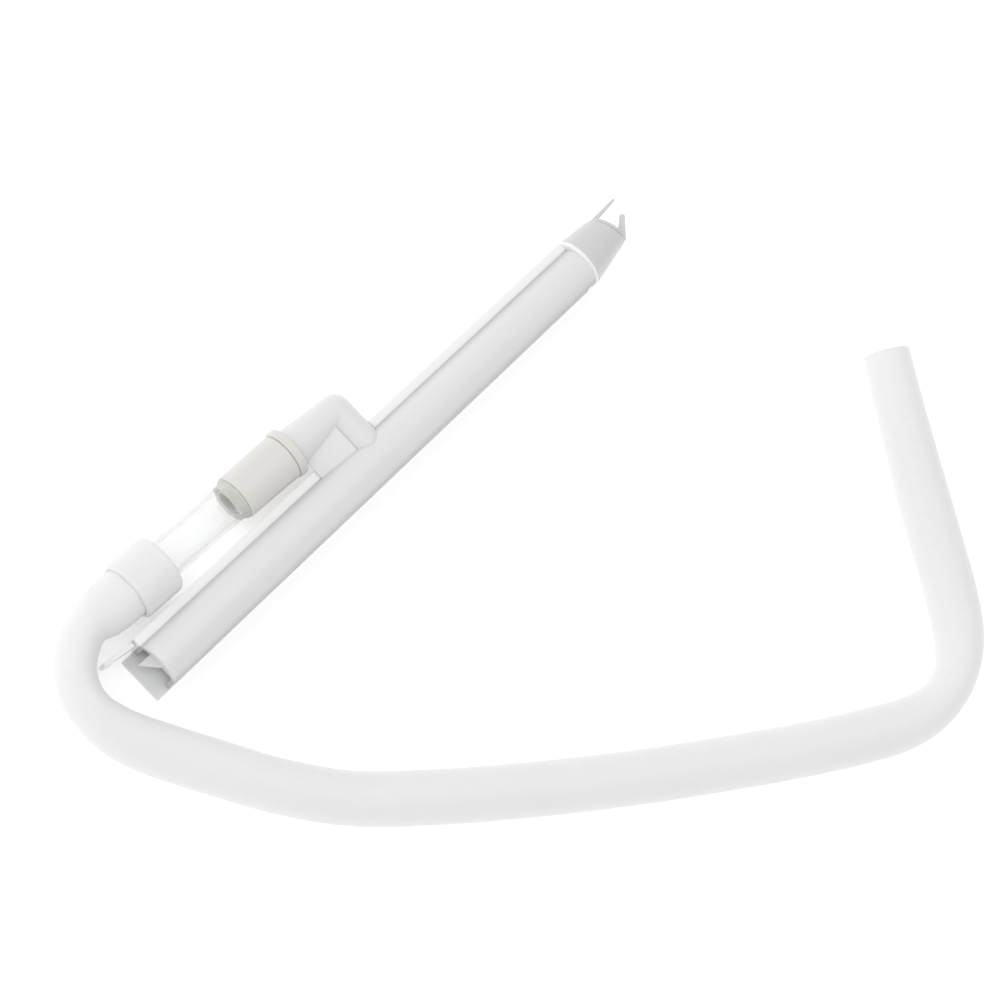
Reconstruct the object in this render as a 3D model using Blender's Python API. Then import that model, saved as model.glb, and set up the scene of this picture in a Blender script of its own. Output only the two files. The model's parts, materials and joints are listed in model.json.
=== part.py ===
"""Suction handpiece with a side arm, a swivelling clear connector and a flexible hose.

The handpiece lies on its flat plate. +X runs along the barrel towards the nozzle, +Y points
to the side that the arm leaves from, and +Z is up. All sizes are in metres.
"""

import math

import bmesh
import bpy
from mathutils import Matrix, Vector

MM = 0.001
GAP = 0.3 * MM  # room between pieces that touch

# Where the barrel's reference point, its rear end at the floor, lies in the part's frame.
BARREL_AT = (-75.33 * MM, -8.07 * MM, 0.0)

# Barrel: a domed shell on a flat plate, both a little slimmer at the nose.
BARREL_LENGTH = 141.4 * MM
NOSE_SCALE = 0.93  # the section at the nose, as a share of the section at the tail
HALF_WIDTH = 6.9 * MM
DOME_HEIGHT = 13.0 * MM
DOME_SPRING = 6.5 * MM  # height at which the side walls turn into the arch
DOME_CENTRE = -0.85 * MM
DOME_HALF = 5.75 * MM
DOME_WALL = 1.2 * MM
PLATE_THICK = 1.0 * MM
PLATE_RIB = 0.8 * MM
PLATE_LEFT = 4.9 * MM
PLATE_TAIL = 3.6 * MM  # how far the plate runs past the shell
RAIL_RIGHT = 5.2 * MM
RAIL_HEIGHT = 8.6 * MM

# Bulkhead that closes the suction chamber at the tail, with its corner web.
BULKHEAD_X = 1.9 * MM
BULKHEAD_THICK = 1.2 * MM
WEB_Z = 3.4 * MM
WEB_THICK = 0.9 * MM

# Spring tongue that carries on from the side rail.
TONGUE_LENGTH = 9.0 * MM
TONGUE_THICK = 1.2 * MM
TONGUE_LOW = 2.2 * MM
TONGUE_HIGH = 7.0 * MM
TONGUE_Y = 6.05 * MM
TONGUE_SPLAY = math.radians(7.0)

# Nose: gasket, tapered cone and a clear two-pronged guard.
NOSE_CENTRE_Z = 6.1 * MM
NOSE_HALF_WIDTH = 6.4 * MM
NOSE_HALF_HEIGHT = 6.1 * MM
GASKET_THICK = 1.0 * MM
CONE_LENGTH = 9.6 * MM
MOUTH_Y = 0.85 * MM
MOUTH_RADIUS = 4.9 * MM
MOUTH_RAKE = 0.29  # the mouth's slant, in length for each unit of width
SPIGOT_LENGTH = 7.0 * MM
SPIGOT_Y = -0.85 * MM
SPIGOT_HALF_WIDTH = 3.75 * MM
SPIGOT_HALF_HEIGHT = 4.1 * MM
NOZZLE_BORE = 3.25 * MM
GUARD_SLEEVE = 3.65 * MM
GUARD_SLEEVE_LENGTH = 5.0 * MM
GUARD_FLANGE = 0.9 * MM

# Side arm: a mitred elbow whose second leg runs back beside the barrel.
ARM_X = 72.0 * MM
ARM_Y = 13.5 * MM
ARM_Z = 7.6 * MM
ARM_SPLAY = math.radians(1.8)
LEG_RADIUS = 4.0 * MM
LEG_BORE = 2.9 * MM
LEG_LENGTH = 14.1 * MM
SADDLE_RADIUS = 4.3 * MM
SPIGOT_RADIUS = 3.4 * MM
SPIGOT_END = 29.6 * MM

# Swivel, measured from the elbow's corner back along its second leg.
RING_FROM, RING_TO, RING_RADIUS = 14.4 * MM, 16.5 * MM, 6.25 * MM
COLLAR_FROM, COLLAR_TO = 16.8 * MM, 31.8 * MM
COLLAR_RADIUS, COLLAR_MOUTH_RADIUS = 5.9 * MM, 5.75 * MM
TUBE_FROM, TUBE_TO = 34.3 * MM, 65.2 * MM
TUBE_RADIUS, TUBE_BORE = 4.9 * MM, 4.1 * MM
CUFF_FROM, CUFF_TO = 54.6 * MM, 65.6 * MM
CUFF_RADIUS = 7.5 * MM

# Hose: outside diameter, and its route on the floor from the cuff to the open end. The points
# are (x, y, z) from the barrel's reference point.
HOSE_DIAMETER = 12.7 * MM
HOSE_ROUTE_MM = [
    (6.1, 15.6, 7.6),
    (0.0, 15.8, 7.4),
    (-6.4, 15.6, 6.9),
    (-12.0, 13.9, 6.5),
    (-16.6, 9.9, 6.4),
    (-18.6, 4.4, 6.4),
    (-18.2, -2.0, 6.4),
    (-15.6, -9.0, 6.4),
    (-11.5, -17.0, 6.4),
    (-5.6, -27.2, 6.4),
    (2.0, -39.4, 6.4),
    (12.5, -52.6, 6.4),
    (28.0, -67.0, 6.4),
    (46.0, -81.2, 6.4),
    (64.0, -94.4, 6.4),
    (82.0, -106.7, 6.4),
    (99.0, -117.8, 6.4),
    (113.5, -126.4, 6.4),
    (124.0, -131.4, 6.4),
    (133.2, -132.8, 6.4),
    (141.4, -130.4, 6.4),
    (148.4, -124.2, 6.4),
    (154.8, -114.8, 6.4),
    (162.0, -102.2, 6.4),
    (169.8, -89.0, 6.4),
    (177.4, -76.4, 6.4),
    (184.4, -65.4, 6.4),
]
HOSE_POINTS = 52  # points along the tube

ROUND = 40  # sides of a turned piece


def material(name, colour, roughness):
    """A plain plastic with this colour and roughness."""
    made = bpy.data.materials.new(name)
    made.use_nodes = True
    shader = made.node_tree.nodes["Principled BSDF"]
    shader.inputs["Base Color"].default_value = (*colour, 1.0)
    shader.inputs["Roughness"].default_value = roughness
    shader.inputs["Metallic"].default_value = 0.0
    return made


def frame_empty(name, location, turn=0.0, parent=None):
    """An empty that a group of pieces hangs on, turned about +Z."""
    empty = bpy.data.objects.new(name, None)
    bpy.context.collection.objects.link(empty)
    empty.location = location
    empty.rotation_euler = (0.0, 0.0, turn)
    empty.parent = parent
    return empty


def piece(name, bm, look, parent):
    """Turns a bmesh into a named object with outward faces."""
    bmesh.ops.remove_doubles(bm, verts=bm.verts, dist=0.00001)
    bmesh.ops.recalc_face_normals(bm, faces=bm.faces)
    mesh = bpy.data.meshes.new(name)
    bm.to_mesh(mesh)
    bm.free()
    mesh.shade_smooth()
    mesh.set_sharp_from_angle(angle=math.radians(35))
    made = bpy.data.objects.new(name, mesh)
    bpy.context.collection.objects.link(made)
    made.parent = parent
    if look is not None:
        made.data.materials.append(look)
    return made


def helper(name, bm, parent):
    """A hidden solid that a Boolean reads."""
    made = piece(name, bm, None, parent)
    made.display_type = "WIRE"
    made.hide_render = True
    return made


def boolean(target, tool, operation):
    """Adds an exact Boolean that stays on its object."""
    change = target.modifiers.new(tool.name, "BOOLEAN")
    change.object = tool
    change.operation = operation
    change.solver = "EXACT"


def prism(outline, start, end, scale=1.0):
    """An outline of (y, z) points drawn from start to end along X and scaled about y = z = 0."""
    bm = bmesh.new()
    face = bm.faces.new([bm.verts.new((start, y, z)) for y, z in outline])
    swept = bmesh.ops.extrude_face_region(bm, geom=[face])["geom"]
    far = [v for v in swept if isinstance(v, bmesh.types.BMVert)]
    for vert in far:
        vert.co = (end, vert.co.y * scale, vert.co.z * scale)
    return bm


def slab(outline, low, high):
    """An outline of (x, y) points drawn from height low to height high."""
    bm = bmesh.new()
    face = bm.faces.new([bm.verts.new((x, y, low)) for x, y in outline])
    swept = bmesh.ops.extrude_face_region(bm, geom=[face])["geom"]
    far = [v for v in swept if isinstance(v, bmesh.types.BMVert)]
    bmesh.ops.translate(bm, verts=far, vec=(0.0, 0.0, high - low))
    return bm


def turned(profile, steps=ROUND):
    """A closed profile of (x, radius) points spun round the X axis."""
    bm = bmesh.new()
    verts = [bm.verts.new((x, 0.0, radius)) for x, radius in profile]
    edges = [bm.edges.new((verts[i - 1], verts[i])) for i in range(len(verts))]
    bmesh.ops.spin(
        bm,
        geom=verts + edges,
        cent=(0.0, 0.0, 0.0),
        axis=(1.0, 0.0, 0.0),
        angle=math.tau,
        steps=steps,
        use_merge=True,
    )
    return bm


def rod(radius, start, end, steps=ROUND):
    """A solid cylinder along X."""
    bm = bmesh.new()
    place = Matrix.Translation(((start + end) / 2, 0.0, 0.0)) @ Matrix.Rotation(math.pi / 2, 4, "Y")
    bmesh.ops.create_cone(
        bm,
        cap_ends=True,
        segments=steps,
        radius1=radius,
        radius2=radius,
        depth=end - start,
        matrix=place,
    )
    return bm


def arch(centre, half, low, spring, top, steps=18):
    """Points from the right foot over an elliptical arch to the left foot."""
    points = [(centre - half, low)]
    for i in range(steps + 1):
        angle = math.pi * i / steps
        points.append((centre - half * math.cos(angle), spring + (top - spring) * math.sin(angle)))
    points.append((centre + half, low))
    return points


def barrel_scale(x):
    """The barrel's section at x, as a share of its section at the tail."""
    return 1.0 + (NOSE_SCALE - 1.0) * x / BARREL_LENGTH


def dome_outline(offset, foot):
    """The shell's outer arch moved outwards by offset."""
    return arch(DOME_CENTRE, DOME_HALF + offset, foot, DOME_SPRING, DOME_HEIGHT + offset)


def upper_shell(look, frame):
    """The domed upper half of the barrel, open at both ends and along its foot."""
    foot = PLATE_THICK + GAP
    outside = dome_outline(0.0, foot)
    inside = dome_outline(-DOME_WALL, foot)
    shell = piece("upper_shell", prism(outside + inside[::-1], 0.0, BARREL_LENGTH, NOSE_SCALE), look, frame)
    port = rod(LEG_BORE, 1.0 * MM, 9.0 * MM)
    bmesh.ops.rotate(port, verts=port.verts, cent=(0, 0, 0), matrix=Matrix.Rotation(math.pi / 2, 3, "Z"))
    bmesh.ops.translate(port, verts=port.verts, vec=(ARM_X, 0.0, ARM_Z))
    boolean(shell, helper("port_cutter", port, frame), "DIFFERENCE")


def base_plate(look, frame):
    """The flat plate that closes the barrel, with a rib that locates it inside the shell."""
    outline = [
        (-HALF_WIDTH, 0.0),
        (-HALF_WIDTH, PLATE_THICK),
        (PLATE_LEFT, PLATE_THICK),
        (PLATE_LEFT, 0.0),
    ]
    plate = piece("base_plate", prism(outline, -PLATE_TAIL, BARREL_LENGTH, NOSE_SCALE), look, frame)
    inside = DOME_HALF - DOME_WALL - GAP
    rib_outline = [
        (DOME_CENTRE - inside, PLATE_THICK / 2),
        (DOME_CENTRE - inside, PLATE_THICK + PLATE_RIB),
        (DOME_CENTRE + inside, PLATE_THICK + PLATE_RIB),
        (DOME_CENTRE + inside, PLATE_THICK / 2),
    ]
    rib_end = BARREL_LENGTH - 2.0 * MM
    rib = prism(rib_outline, 0.2 * MM, rib_end, barrel_scale(rib_end))
    boolean(plate, helper("locating_rib", rib, frame), "UNION")


def side_rail(look, frame):
    """The tall strip along the arm's side of the barrel, notched for the elbow's saddle."""
    edge = 0.35 * MM
    outline = [
        (RAIL_RIGHT, 0.0),
        (RAIL_RIGHT, RAIL_HEIGHT - edge),
        (RAIL_RIGHT + edge, RAIL_HEIGHT),
        (HALF_WIDTH - edge, RAIL_HEIGHT),
        (HALF_WIDTH, RAIL_HEIGHT - edge),
        (HALF_WIDTH, 0.0),
    ]
    rail = piece("side_rail", prism(outline, 0.0, BARREL_LENGTH, NOSE_SCALE), look, frame)
    notch = rod(SADDLE_RADIUS + GAP, 3.0 * MM, 10.0 * MM)
    bmesh.ops.rotate(notch, verts=notch.verts, cent=(0, 0, 0), matrix=Matrix.Rotation(math.pi / 2, 3, "Z"))
    bmesh.ops.translate(notch, verts=notch.verts, vec=(ARM_X, 0.0, ARM_Z))
    boolean(rail, helper("saddle_notch", notch, frame), "DIFFERENCE")


def rear_bulkhead(look, frame):
    """The wall that closes the suction chamber, with a small triangular web behind it."""
    inset = DOME_WALL + GAP
    foot = PLATE_THICK + PLATE_RIB + GAP
    outline = dome_outline(-inset, foot)
    scale = barrel_scale(BULKHEAD_X + BULKHEAD_THICK)
    outline = [(y * scale, min(z * scale, z) if z > foot else z) for y, z in outline]
    wall = prism(outline, BULKHEAD_X, BULKHEAD_X + BULKHEAD_THICK)
    bulkhead = piece("rear_bulkhead", wall, look, frame)
    corner = BULKHEAD_X + 0.3 * MM
    web_outline = [(-2.1 * MM, 1.9 * MM), (corner, -2.9 * MM), (corner, 1.9 * MM)]
    web = helper("corner_web", slab(web_outline, WEB_Z, WEB_Z + WEB_THICK), frame)
    boolean(bulkhead, web, "UNION")


def rear_tongue(look, frame):
    """The spring tongue behind the side rail, with a thicker lip at its free end."""
    root = frame_empty("tongue_root", (0.0, TONGUE_Y, 0.0), math.pi - TONGUE_SPLAY, frame)
    half = TONGUE_THICK / 2
    outline = [
        (GAP, -half),
        (TONGUE_LENGTH, -half * 0.8),
        (TONGUE_LENGTH, half * 0.8),
        (TONGUE_LENGTH - 2.2 * MM, half * 1.5),
        (TONGUE_LENGTH - 2.8 * MM, half),
        (GAP, half),
    ]
    bm = slab(outline, TONGUE_LOW, TONGUE_HIGH)
    tall = [e for e in bm.edges if abs(e.verts[0].co.z - e.verts[1].co.z) < 0.00001]
    far = [e for e in tall if all(v.co.x > TONGUE_LENGTH - 0.1 * MM for v in e.verts)]
    bmesh.ops.bevel(bm, geom=far, offset=0.8 * MM, segments=3, profile=0.5, affect="EDGES")
    piece("rear_tongue", bm, look, root)


def nose_loop(bm, x, centre, half_width, half_height, power=2.0, rake=0.0):
    """A ring of vertices on a superellipse, with its plane slanted by rake."""
    verts = []
    for i in range(ROUND):
        angle = math.tau * i / ROUND
        side, up = math.cos(angle), math.sin(angle)
        exponent = 2.0 / (power if up < 0.0 else 2.0)
        y = centre[0] + half_width * math.copysign(abs(side) ** exponent, side)
        z = centre[1] + half_height * math.copysign(abs(up) ** exponent, up)
        verts.append(bm.verts.new((x - rake * (y - centre[0]), y, z)))
    return verts


def lofted(loops):
    """A closed skin through rings of the form that nose_loop takes, the last joined to the first."""
    bm = bmesh.new()
    rings = [nose_loop(bm, *loop) for loop in loops]
    for i, ring in enumerate(rings):
        last = rings[i - 1]
        for k in range(ROUND):
            bm.faces.new((last[k - 1], last[k], ring[k], ring[k - 1]))
    return bm


def nose(looks, frame):
    """The gasket, the tapered cone with its spigot, and the clear guard in the cone's mouth."""
    base = (0.0, NOSE_CENTRE_Z)
    plug = (SPIGOT_Y, NOSE_CENTRE_Z + 0.2 * MM)
    mouth = (MOUTH_Y, NOSE_CENTRE_Z)
    gasket_from = BARREL_LENGTH + GAP
    gasket_to = gasket_from + GASKET_THICK
    width, height = NOSE_HALF_WIDTH, NOSE_HALF_HEIGHT
    hole = (SPIGOT_HALF_WIDTH + GAP, SPIGOT_HALF_HEIGHT + GAP)
    edge = 0.3 * MM
    gasket = lofted([
        (gasket_from, base, width, height - 0.1 * MM, 3.0),
        (gasket_from + edge, base, width + 0.1 * MM, height, 3.0),
        (gasket_to - edge, base, width + 0.1 * MM, height, 3.0),
        (gasket_to, base, width, height - 0.1 * MM, 3.0),
        (gasket_to, plug, *hole),
        (gasket_from, plug, *hole),
    ])
    piece("nose_gasket", gasket, looks["gasket"], frame)
    cone_from = gasket_to + GAP
    cone_to = cone_from + CONE_LENGTH
    spigot_from = BARREL_LENGTH - SPIGOT_LENGTH
    sleeve_bore = GUARD_SLEEVE + GAP
    shoulder = cone_to - GUARD_SLEEVE_LENGTH - GAP
    spigot = (SPIGOT_HALF_WIDTH, SPIGOT_HALF_HEIGHT)
    cone = lofted([
        (cone_from, base, width - 0.2 * MM, height - 0.2 * MM, 3.0),
        (cone_from + edge, base, width, height, 3.0),
        (cone_to - edge, mouth, MOUTH_RADIUS, MOUTH_RADIUS, 2.0, MOUTH_RAKE),
        (cone_to, mouth, MOUTH_RADIUS - edge, MOUTH_RADIUS - edge, 2.0, MOUTH_RAKE),
        (cone_to, mouth, sleeve_bore, sleeve_bore, 2.0, MOUTH_RAKE),
        (shoulder, mouth, sleeve_bore, sleeve_bore),
        (shoulder, mouth, NOZZLE_BORE, NOZZLE_BORE),
        (cone_from, plug, NOZZLE_BORE, NOZZLE_BORE),
        (spigot_from, plug, NOZZLE_BORE, NOZZLE_BORE),
        (spigot_from, plug, spigot[0] - edge, spigot[1] - edge),
        (spigot_from + edge, plug, *spigot),
        (cone_from, plug, *spigot),
    ])
    piece("nose_cone", cone, looks["cone"], frame)
    flange_from = cone_to + GAP
    flange_to = flange_from + GUARD_FLANGE
    rim = MOUTH_RADIUS - edge
    guard = lofted([
        (shoulder + GAP, mouth, GUARD_SLEEVE, GUARD_SLEEVE),
        (flange_from, mouth, GUARD_SLEEVE, GUARD_SLEEVE, 2.0, MOUTH_RAKE),
        (flange_from, mouth, rim, rim, 2.0, MOUTH_RAKE),
        (flange_to, mouth, rim, rim, 2.0, MOUTH_RAKE),
        (flange_to, mouth, NOZZLE_BORE, NOZZLE_BORE, 2.0, MOUTH_RAKE),
        (shoulder + GAP, mouth, NOZZLE_BORE, NOZZLE_BORE),
    ])
    tip_guard = piece("tip_guard", guard, looks["clear"], frame)
    middle = flange_from + GUARD_FLANGE / 2
    left_root = Vector((middle - MOUTH_RAKE * 3.9 * MM, MOUTH_Y + 3.9 * MM, NOSE_CENTRE_Z))
    left_tip = Vector((159.6 * MM, 5.2 * MM, NOSE_CENTRE_Z + 0.6 * MM))
    right_root = Vector((middle + MOUTH_RAKE * 3.9 * MM, MOUTH_Y - 3.9 * MM, NOSE_CENTRE_Z))
    right_tip = Vector((158.2 * MM, 1.3 * MM, NOSE_CENTRE_Z + 1.6 * MM))
    for name, root, tip in (("long_prong", left_root, left_tip), ("short_prong", right_root, right_tip)):
        boolean(tip_guard, helper(name, prong(root, tip), frame), "UNION")


def prong(root, tip, height=3.4 * MM, thick=1.1 * MM):
    """A flat prong that narrows from its root to a rounded tip."""
    along = tip - root
    bm = bmesh.new()
    bmesh.ops.create_cube(bm, size=1.0)
    for vert in bm.verts:
        share = vert.co.x + 0.5
        wide = thick * (1.0 - 0.35 * share)
        tall = height * (1.0 - 0.5 * share)
        vert.co = (along.length * share, wide * vert.co.y, tall * vert.co.z)
    ends = [e for e in bm.edges if all(v.co.x > along.length * 0.9 for v in e.verts)]
    cross = [e for e in ends if abs(e.verts[0].co.z - e.verts[1].co.z) < 0.00001]
    bmesh.ops.bevel(bm, geom=cross, offset=0.5 * MM, segments=3, profile=0.5, affect="EDGES")
    turn = Vector((1.0, 0.0, 0.0)).rotation_difference(along)
    bmesh.ops.rotate(bm, verts=bm.verts, cent=(0, 0, 0), matrix=turn.to_matrix())
    bmesh.ops.translate(bm, verts=bm.verts, vec=root)
    return bm


def elbow_ring(bm, leg, reach, radius, share=0.0):
    """A ring round leg 1, round leg 2, or on the ball corner between them.

    reach is the distance from the corner; share runs from 0 at leg 1 to 1 at leg 2.
    """
    out_1 = Vector((1.0, 0.0, 0.0))
    out_2 = Vector((math.sin(ARM_SPLAY), math.cos(ARM_SPLAY), 0.0))
    along_1 = Vector((0.0, -1.0, 0.0))
    along_2 = Vector((-math.cos(ARM_SPLAY), math.sin(ARM_SPLAY), 0.0))
    corner = Vector((ARM_X, ARM_Y, ARM_Z))
    verts = []
    for i in range(ROUND):
        angle = math.tau * (i + 0.5) / ROUND
        side, up = radius * math.cos(angle), radius * math.sin(angle)
        if leg == 1:
            place = along_1 * reach + out_1 * side
        elif leg == 2:
            place = along_2 * reach + out_2 * side
        elif side > 0.0:
            turn = (math.pi / 2 - ARM_SPLAY) * share
            place = Vector((math.cos(turn), math.sin(turn), 0.0)) * side
        else:
            place = (out_1 + out_2) * (side / (1.0 + out_1.dot(out_2)))
        verts.append(bm.verts.new(corner + place + Vector((0.0, 0.0, up))))
    return verts


def elbow_skin(foot, end):
    """The elbow's closed skin from lists of (reach, radius) for its two legs and its bore."""
    bm = bmesh.new()
    bore = LEG_BORE - 0.3 * MM
    fan = [i / 8 for i in range(9)]
    rings = [elbow_ring(bm, 1, reach, radius) for reach, radius in foot]
    rings += [elbow_ring(bm, 0, 0.0, LEG_RADIUS, share) for share in fan]
    rings += [elbow_ring(bm, 2, reach, radius) for reach, radius in end]
    rings.append(elbow_ring(bm, 2, end[-1][0], bore))
    rings += [elbow_ring(bm, 0, 0.0, bore, share) for share in reversed(fan)]
    rings.append(elbow_ring(bm, 1, foot[0][0], bore))
    for i, ring in enumerate(rings):
        last = rings[i - 1]
        for k in range(ROUND):
            bm.faces.new((last[k - 1], last[k], ring[k], ring[k - 1]))
    return bm


def side_elbow(look, frame):
    """The elbow: a saddle on the shell, two legs that meet in a ball corner, and a spigot."""
    step = 0.4 * MM
    bead = SPIGOT_RADIUS + 0.5 * MM
    foot = [
        (ARM_Y - 1.0 * MM, SADDLE_RADIUS),
        (ARM_Y - 7.2 * MM, SADDLE_RADIUS),
        (ARM_Y - 8.6 * MM, LEG_RADIUS + 0.1 * MM),
        (ARM_Y - 9.4 * MM, LEG_RADIUS),
    ]
    end = [
        (LEG_LENGTH - step, LEG_RADIUS),
        (LEG_LENGTH, LEG_RADIUS - step),
        (LEG_LENGTH, SPIGOT_RADIUS),
        (SPIGOT_END - 1.3 * MM, SPIGOT_RADIUS),
        (SPIGOT_END - 1.0 * MM, bead),
        (SPIGOT_END - 0.6 * MM, bead),
        (SPIGOT_END, SPIGOT_RADIUS - 0.1 * MM),
    ]
    elbow = piece("side_elbow", elbow_skin(foot, end), look, frame)
    web_outline = [
        (ARM_X - 13.7 * MM, 3.5 * MM),
        (ARM_X - 3.3 * MM, 3.5 * MM),
        (ARM_X - 3.3 * MM, ARM_Y - 2.6 * MM),
        (ARM_X - 13.7 * MM, ARM_Y - 2.4 * MM),
    ]
    web = slab(web_outline, RAIL_HEIGHT, RAIL_HEIGHT + 0.7 * MM)
    boolean(elbow, helper("crotch_web", web, frame), "UNION")
    seat = prism(dome_outline(GAP, 0.0), -1.0 * MM, BARREL_LENGTH, NOSE_SCALE)
    boolean(elbow, helper("shell_seat", seat, frame), "DIFFERENCE")


def swivel(looks, axis):
    """The pieces that turn together about the elbow's second leg."""
    clear_leg = LEG_RADIUS + GAP
    edge = 0.5 * MM
    ring = [
        (RING_FROM, clear_leg),
        (RING_FROM, RING_RADIUS - edge),
        (RING_FROM + edge, RING_RADIUS),
        (RING_TO - edge, RING_RADIUS),
        (RING_TO, RING_RADIUS - edge),
        (RING_TO, clear_leg),
    ]
    piece("retaining_ring", turned(ring), looks["collar"], axis)
    seat = SPIGOT_RADIUS + GAP + 0.05 * MM
    groove_from, groove_to, groove = 19.4 * MM, 22.0 * MM, 5.0 * MM
    snap, snap_bore, mouth_bore = 28.0 * MM, 4.4 * MM, 2.9 * MM
    pocket_end = SPIGOT_END + 0.9 * MM
    sleeve, sleeve_end = TUBE_BORE - GAP, COLLAR_TO + 2.1 * MM
    collar = [
        (COLLAR_FROM, seat),
        (COLLAR_FROM, COLLAR_RADIUS - edge),
        (COLLAR_FROM + edge, COLLAR_RADIUS),
        (COLLAR_TO - edge, COLLAR_MOUTH_RADIUS),
        (COLLAR_TO, COLLAR_MOUTH_RADIUS - edge),
        (COLLAR_TO, sleeve),
        (sleeve_end, sleeve),
        (sleeve_end, mouth_bore),
        (pocket_end, mouth_bore),
        (pocket_end, snap_bore),
        (snap, snap_bore),
        (snap, seat),
        (groove_to, seat),
        (groove_to, groove),
        (groove_from, groove),
        (groove_from, seat),
    ]
    piece("swivel_collar", turned(collar), looks["collar"], axis)
    cord, middle = 0.5 * MM, (groove_from + groove_to) / 2
    seal = [
        (middle + cord * math.cos(math.tau * i / 12), 4.3 * MM + cord * math.sin(math.tau * i / 12))
        for i in range(12)
    ]
    piece("swivel_seal", turned(seal), looks["seal"], axis)
    band = [
        (COLLAR_TO + GAP, sleeve + GAP),
        (COLLAR_TO + GAP, TUBE_RADIUS - 0.1 * MM),
        (TUBE_FROM - GAP, TUBE_RADIUS - 0.1 * MM),
        (TUBE_FROM - GAP, sleeve + GAP),
    ]
    piece("connector_seal", turned(band), looks["seal"], axis)
    tube = [(TUBE_FROM, TUBE_BORE), (TUBE_FROM, TUBE_RADIUS), (CUFF_FROM + 2.4 * MM, TUBE_RADIUS)]
    for ridge in (57.6 * MM, 60.2 * MM, 62.8 * MM):
        tube += [(ridge, TUBE_RADIUS), (ridge, TUBE_RADIUS + 0.6 * MM), (ridge + 2.2 * MM, TUBE_RADIUS)]
    tube += [(TUBE_TO, TUBE_RADIUS - 0.2 * MM), (TUBE_TO, TUBE_BORE)]
    piece("clear_connector", turned(tube), looks["clear"], axis)
    bore, lip = HOSE_DIAMETER / 2 + GAP, 1.9 * MM
    cuff = [
        (CUFF_FROM, TUBE_RADIUS + GAP),
        (CUFF_FROM, CUFF_RADIUS - 0.9 * MM),
        (CUFF_FROM + 0.3 * MM, CUFF_RADIUS - 0.3 * MM),
        (CUFF_FROM + 0.9 * MM, CUFF_RADIUS),
        (CUFF_TO - edge, CUFF_RADIUS),
        (CUFF_TO, CUFF_RADIUS - edge),
        (CUFF_TO, bore),
        (CUFF_FROM + lip, bore),
        (CUFF_FROM + lip, TUBE_RADIUS + GAP),
    ]
    piece("hose_cuff", turned(cuff), looks["cuff"], axis)


def smooth_route(points, count):
    """Evenly spaced points on a Catmull-Rom curve through the given points."""
    ends = [points[0] * 2 - points[1], *points, points[-1] * 2 - points[-2]]
    fine = []
    for before, here, there, after in zip(ends, ends[1:], ends[2:], ends[3:], strict=False):
        for i in range(24):
            t = i / 24
            fine.append(
                0.5 * (2 * here + (there - before) * t + (2 * before - 5 * here + 4 * there - after) * t**2
                       + (3 * here - before - 3 * there + after) * t**3)
            )
    fine.append(points[-1])
    run = [0.0]
    for a, b in zip(fine, fine[1:], strict=False):
        run.append(run[-1] + (b - a).length)
    spaced, k = [], 0
    for i in range(count):
        want = run[-1] * i / (count - 1)
        while k < len(run) - 2 and run[k + 1] < want:
            k += 1
        spaced.append(fine[k].lerp(fine[k + 1], (want - run[k]) / (run[k + 1] - run[k])))
    return spaced


def suction_hose(look, frame):
    """The hose as a round tube along its route, from the cuff's face to its open end."""
    curve = bpy.data.curves.new("suction_hose", "CURVE")
    curve.dimensions = "3D"
    curve.bevel_depth = HOSE_DIAMETER / 2
    curve.bevel_resolution = 4
    curve.use_fill_caps = True
    route = smooth_route([Vector(p) * MM for p in HOSE_ROUTE_MM], HOSE_POINTS)
    spline = curve.splines.new("POLY")
    spline.points.add(len(route) - 1)
    for point, place in zip(spline.points, route, strict=True):
        point.co = (*place, 1.0)
    hose = bpy.data.objects.new("suction_hose", curve)
    bpy.context.collection.objects.link(hose)
    hose.parent = frame
    hose.data.materials.append(look)


def main():
    for old in list(bpy.data.objects):
        bpy.data.objects.remove(old)
    looks = {
        "shell": material("translucent_white", (0.80, 0.81, 0.82), 0.32),
        "rail": material("rail_white", (0.78, 0.79, 0.79), 0.36),
        "gasket": material("gasket_white", (0.92, 0.92, 0.93), 0.45),
        "cone": material("cool_grey", (0.52, 0.53, 0.55), 0.3),
        "collar": material("warm_grey", (0.60, 0.58, 0.55), 0.34),
        "seal": material("seal_grey", (0.25, 0.25, 0.24), 0.6),
        "clear": material("clear_plastic", (0.90, 0.92, 0.93), 0.08),
        "cuff": material("cuff_translucent", (0.74, 0.75, 0.76), 0.3),
        "hose": material("hose_translucent", (0.86, 0.86, 0.86), 0.35),
    }
    barrel = frame_empty("barrel_frame", BARREL_AT)
    arm = frame_empty("arm_frame", (ARM_X, ARM_Y, ARM_Z), math.pi - ARM_SPLAY, barrel)
    upper_shell(looks["shell"], barrel)
    base_plate(looks["cone"], barrel)
    side_rail(looks["rail"], barrel)
    rear_bulkhead(looks["gasket"], barrel)
    rear_tongue(looks["rail"], barrel)
    nose(looks, barrel)
    side_elbow(looks["shell"], barrel)
    swivel(looks, arm)
    suction_hose(looks["hose"], barrel)


main()
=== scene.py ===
"""Suction handpiece with a swivelling side arm and a soft hose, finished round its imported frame.

Every piece is drawn in the frame's own axes: +X along the barrel to the nozzle, +Y to the side
that the arm leaves from, +Z up from the flat plate. All lengths are in metres.
"""

import json
import math

import bmesh
import bpy
from bpy.props import FloatProperty, FloatVectorProperty, PointerProperty
from bpy.types import Operator, Panel, PropertyGroup
from mathutils import Matrix, Vector


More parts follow.
